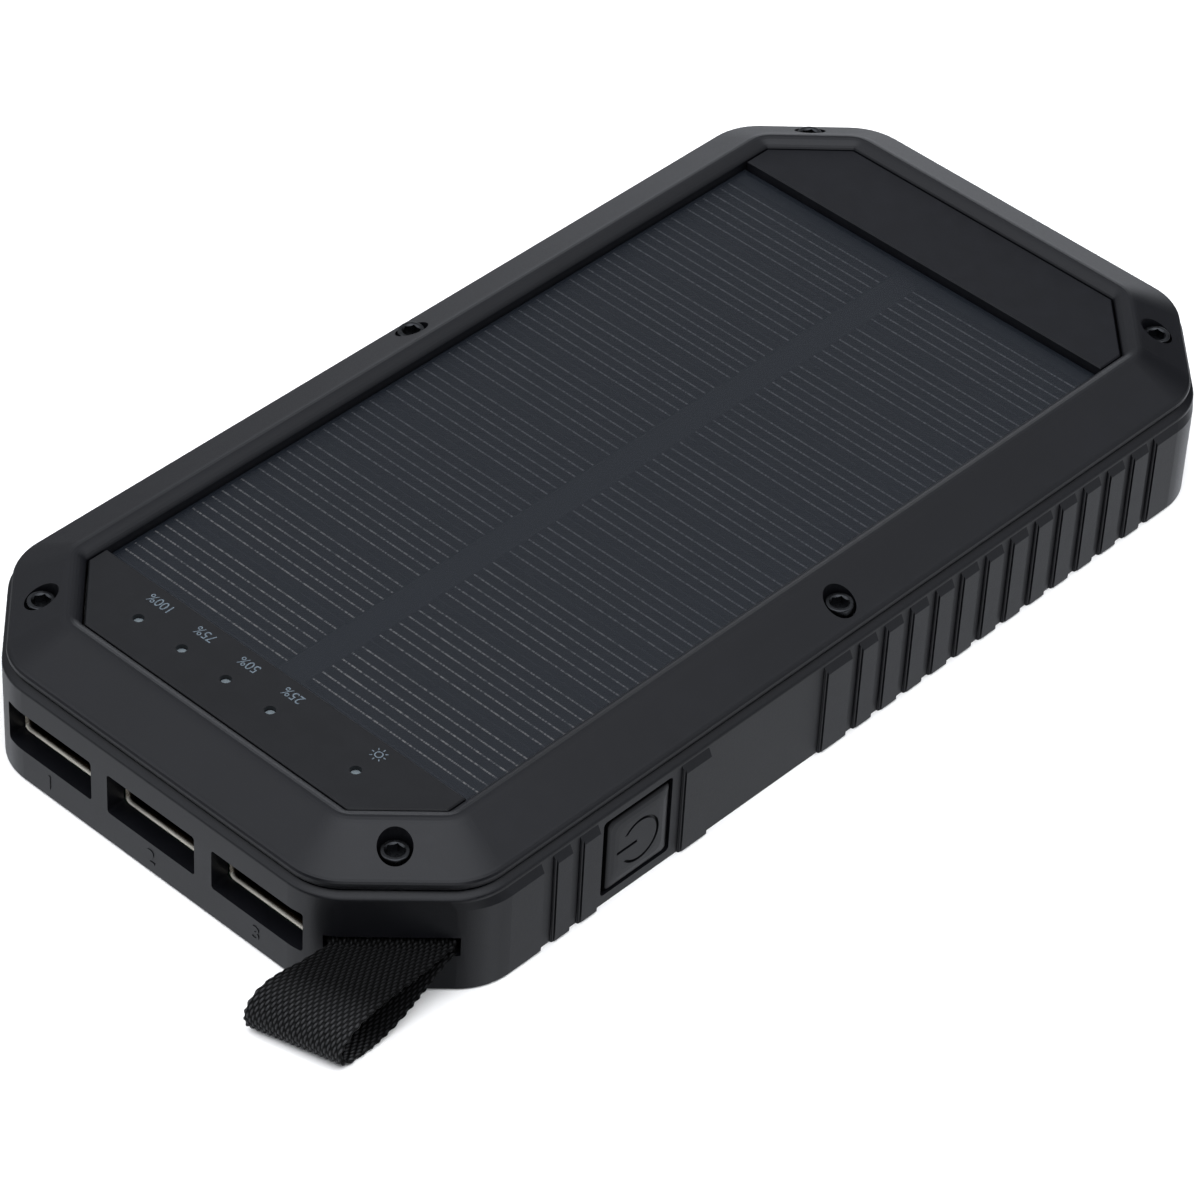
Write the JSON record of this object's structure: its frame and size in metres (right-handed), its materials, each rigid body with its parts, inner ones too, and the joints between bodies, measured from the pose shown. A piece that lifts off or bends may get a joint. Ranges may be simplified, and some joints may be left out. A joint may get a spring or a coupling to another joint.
{
  "type": "solar phone charger",
  "caption": "Rugged rectangular solar power bank with chamfered corners, recessed solar panel, USB sockets, side power button and webbing loop.",
  "frame": {"origin": "centre of the flat back face", "axes": "+Z out of the solar panel side, +Y along the body away from the USB sockets, +X towards the power button"},
  "size_m": [0.0734, 0.1513, 0.0181],
  "materials": {
    "shell_plastic": "fine moulded texture",
    "frame_plastic": "fine moulded texture",
    "plate_plastic": "fine moulded texture",
    "button_plastic": "satin",
    "inner_plastic": "satin",
    "white_plastic": "clear light guide",
    "lamp": "moulded lamp",
    "socket_plastic": "satin",
    "board_green": "solder mask",
    "panel_board": "dark laminate",
    "cell_blue": "dark silicon",
    "cover_clear": "clear laminate",
    "adhesive": "tape",
    "foam": "foam",
    "cell_foil": "pouch foil",
    "tape": "tape",
    "screw_steel": "black oxide",
    "socket_steel": "plated",
    "steel": "plain",
    "brass": "turned",
    "contact_gold": "plated",
    "ferrite": "ferrite",
    "chip_black": "moulded",
    "lead_red": "insulation",
    "lead_black": "insulation",
    "webbing": "woven"
  },
  "bodies": {
    "charger": {"rear_shell": "shell_plastic", "front_frame": "frame_plastic", "lamp_plate": "plate_plastic", "end_plate": "plate_plastic", "panel_tray": "inner_plastic", "panel_adhesive": "adhesive", "solar_board": "panel_board", "panel_cover": "cover_clear", "solar_cells": "cell_blue", "light_guide": "white_plastic", "lamp_board": "board_green", "status_lamps": "lamp", "main_board": "board_green", "usb_shell_1": "socket_steel", "usb_shell_2": "socket_steel", "usb_shell_3": "socket_steel", "usb_tongues": "socket_plastic", "usb_contacts": "contact_gold", "power_inductor": "ferrite", "board_chips": "chip_black", "board_screws": "steel", "charge_board": "board_green", "charge_socket": "socket_steel", "charge_tongue": "socket_plastic", "switch_body": "chip_black", "switch_board": "board_green", "battery_foam": "foam", "battery_cell_lower": "cell_foil", "battery_tape": "tape", "battery_cell_upper": "cell_foil", "battery_lead_red": "lead_red", "battery_lead_black": "lead_black", "solar_lead_red": "lead_red", "solar_lead_black": "lead_black", "charge_leads": "lead_red", "frame_screws": "screw_steel", "threaded_inserts": "brass", "strap_clip": "steel", "strap_tail": "webbing"},
    "button": {"power_button": "button_plastic", "switch_plunger": "inner_plastic"},
    "wrist_loop": {"strap_loop": "webbing"}
  },
  "joints": [
    {"name": "button_press", "type": "slide", "parent": "charger", "child": "button", "axis": [-1, 0, 0], "range_m": [0, 0.0004], "stiffness_N_per_m": 4000},
    {"name": "loop_swing", "type": "hinge", "parent": "charger", "child": "wrist_loop", "pos_m": [0.03083, -0.06618, 0.0063], "axis": [-0.7071, -0.7071, 0], "range_deg": [0, 70]}
  ]
}
